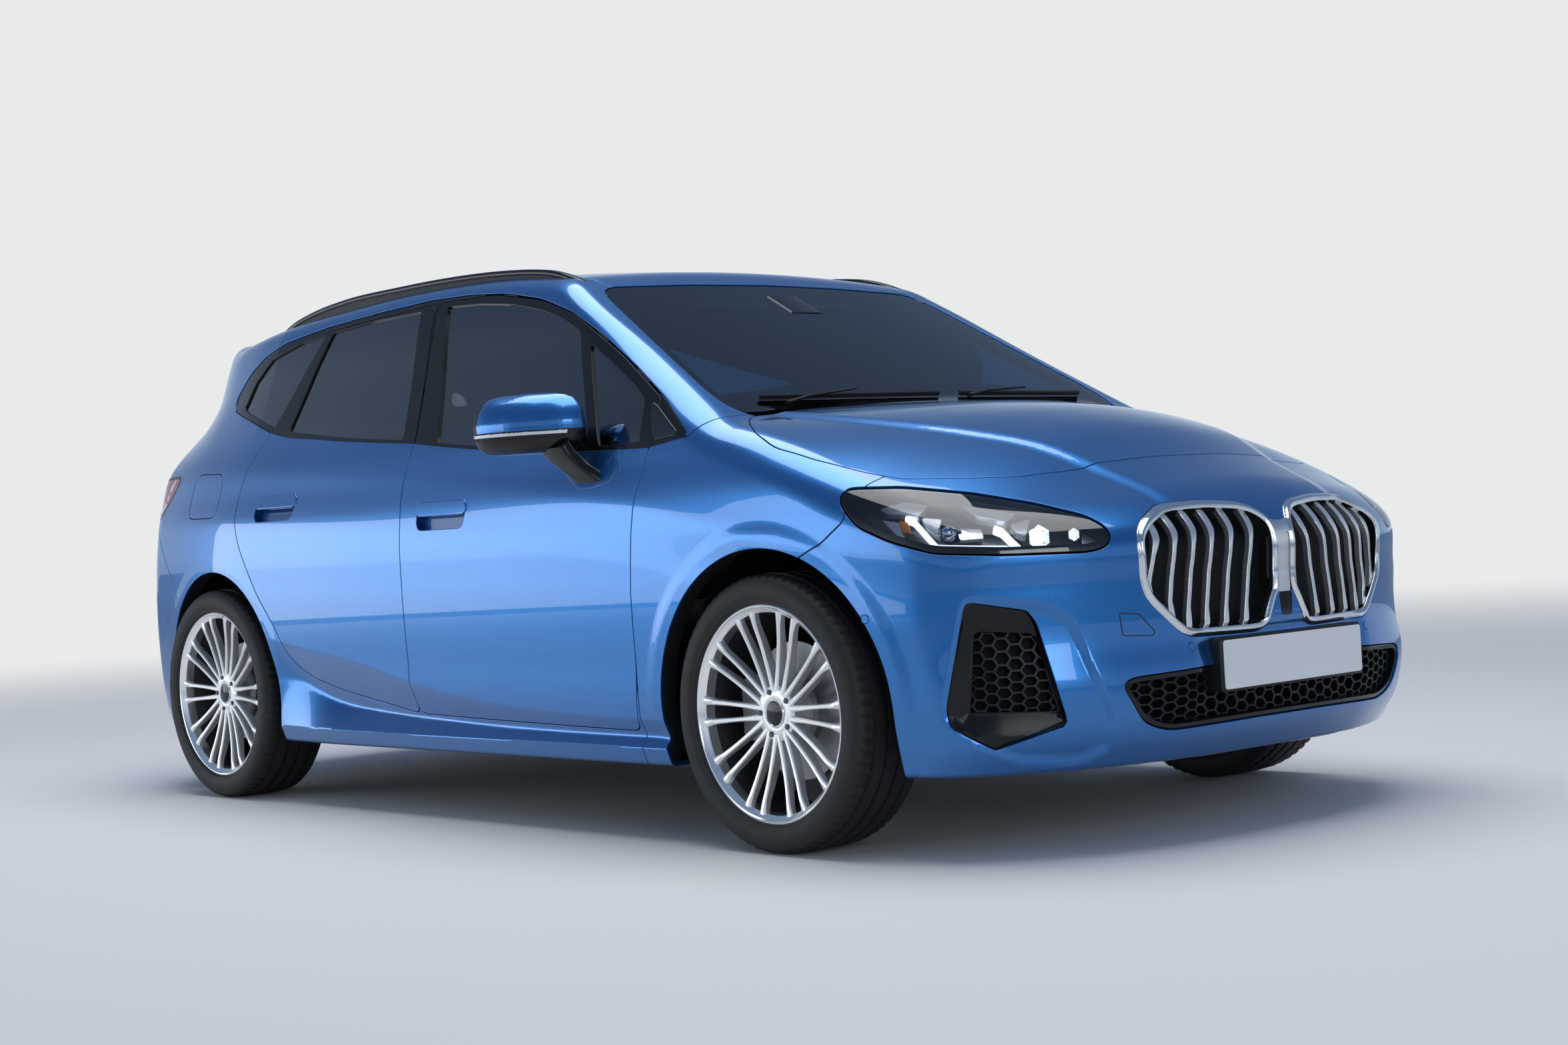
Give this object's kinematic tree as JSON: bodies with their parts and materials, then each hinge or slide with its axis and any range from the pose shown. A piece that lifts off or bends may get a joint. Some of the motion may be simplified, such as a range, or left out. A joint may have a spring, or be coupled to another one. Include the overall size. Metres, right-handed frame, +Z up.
{
  "type": "compact minivan",
  "caption": "Compact five-door minivan body on wheels, with opening doors, bonnet, tailgate and fuel flap, steered front wheels and a hollow two-row cabin.",
  "frame": {"origin": "on the ground, midway between nose and tail, on the centre line", "axes": "+X towards the nose, +Y to the left side, +Z up"},
  "size_m": [4.3813, 2.104, 1.558],
  "materials": {
    "paint": "metallic gloss",
    "window_glass": "clear",
    "lamp_lens": "clear",
    "tail_lens": "gloss",
    "black_plastic": "fine grain",
    "satin_metal": "satin",
    "steel": "satin",
    "cast_metal": "cast",
    "seat_cloth": "woven",
    "tyre_rubber": "matt",
    "alloy": "satin"
  },
  "bodies": {
    "body_shell": {"aerial_fin": "paint", "arch_liners": "black_plastic", "dashboard": "black_plastic", "engine_block": "cast_metal", "fixed_glass": "window_glass", "floor_pan": "steel", "front_bumper": "paint", "front_seats": "seat_cloth", "front_suspension": "steel", "front_wings": "paint", "grille": "satin_metal", "headlamps": "lamp_lens", "lower_grilles": "black_plastic", "rear_bench": "seat_cloth", "rear_bumper": "paint", "rear_suspension": "steel", "roof_panel": "paint", "roof_rails": "black_plastic", "side_frames": "paint", "tail_lamps": "tail_lens"},
    "door_front_right": {"door_front_right": "paint", "door_glass_front_right": "window_glass", "mirror_right": "paint"},
    "door_front_left": {"door_front_left": "paint", "door_glass_front_left": "window_glass", "mirror_left": "paint"},
    "door_rear_right": {"door_rear_right": "paint", "door_glass_rear_right": "window_glass"},
    "door_rear_left": {"door_rear_left": "paint", "door_glass_rear_left": "window_glass"},
    "bonnet": {"bonnet": "paint"},
    "tailgate": {"tailgate": "paint", "tailgate_glass": "window_glass"},
    "fuel_flap": {"fuel_flap": "paint"},
    "steering_wheel": {"steering_wheel": "black_plastic"},
    "hub_front_right": {"knuckle_right": "steel"},
    "hub_front_left": {"knuckle_left": "steel"},
    "wheel_front_right": {"wheel_front_right": "alloy", "tyre_front_right": "tyre_rubber"},
    "wheel_front_left": {"wheel_front_left": "alloy", "tyre_front_left": "tyre_rubber"},
    "wheel_rear_right": {"wheel_rear_right": "alloy", "tyre_rear_right": "tyre_rubber"},
    "wheel_rear_left": {"wheel_rear_left": "alloy", "tyre_rear_left": "tyre_rubber"}
  },
  "joints": [
    {"name": "door_front_right_hinge", "type": "hinge", "parent": "body_shell", "child": "door_front_right", "pos_m": [0.897, -0.906, 0.6], "axis": [0, 0, 1], "range_deg": [0, 68]},
    {"name": "door_front_left_hinge", "type": "hinge", "parent": "body_shell", "child": "door_front_left", "pos_m": [0.897, 0.906, 0.6], "axis": [0, 0, -1], "range_deg": [0, 68]},
    {"name": "door_rear_right_hinge", "type": "hinge", "parent": "body_shell", "child": "door_rear_right", "pos_m": [-0.187, -0.906, 0.6], "axis": [0, 0, 1], "range_deg": [0, 68]},
    {"name": "door_rear_left_hinge", "type": "hinge", "parent": "body_shell", "child": "door_rear_left", "pos_m": [-0.187, 0.906, 0.6], "axis": [0, 0, -1], "range_deg": [0, 68]},
    {"name": "bonnet_hinge", "type": "hinge", "parent": "body_shell", "child": "bonnet", "pos_m": [1.108, 0, 1.096], "axis": [0, -1, 0], "range_deg": [0, 45]},
    {"name": "tailgate_hinge", "type": "hinge", "parent": "body_shell", "child": "tailgate", "pos_m": [-1.694, 0, 1.468], "axis": [0, 1, 0], "range_deg": [0, 80]},
    {"name": "fuel_flap_hinge", "type": "hinge", "parent": "body_shell", "child": "fuel_flap", "pos_m": [-1.33, -0.905, 0.96], "axis": [0, 0, 1], "range_deg": [0, 95]},
    {"name": "steer_right", "type": "hinge", "parent": "body_shell", "child": "hub_front_right", "pos_m": [1.328, -0.708, 0.331], "axis": [0, 0, 1], "range_deg": [-35, 35]},
    {"name": "steer_left", "type": "hinge", "parent": "body_shell", "child": "hub_front_left", "pos_m": [1.328, 0.708, 0.331], "axis": [0, 0, 1], "range_deg": [-35, 35]},
    {"name": "steering_wheel_turn", "type": "hinge", "parent": "body_shell", "child": "steering_wheel", "pos_m": [0.465, -0.37, 0.91], "axis": [-0.9063, 0, 0.4226], "range_deg": [-490, 490]},
    {"name": "wheel_front_right_roll", "type": "hinge", "parent": "hub_front_right", "child": "wheel_front_right", "pos_m": [1.328, -0.793, 0.331], "axis": [0, 1, 0], "continuous": true},
    {"name": "wheel_front_left_roll", "type": "hinge", "parent": "hub_front_left", "child": "wheel_front_left", "pos_m": [1.328, 0.793, 0.331], "axis": [0, 1, 0], "continuous": true},
    {"name": "wheel_rear_right_roll", "type": "hinge", "parent": "body_shell", "child": "wheel_rear_right", "pos_m": [-1.342, -0.793, 0.331], "axis": [0, 1, 0], "continuous": true},
    {"name": "wheel_rear_left_roll", "type": "hinge", "parent": "body_shell", "child": "wheel_rear_left", "pos_m": [-1.342, 0.793, 0.331], "axis": [0, 1, 0], "continuous": true}
  ],
  "couplings": [
    {"joint": "steer_left", "follows": "steer_right", "ratio": 1},
    {"joint": "steering_wheel_turn", "follows": "steer_right", "ratio": 14}
  ]
}
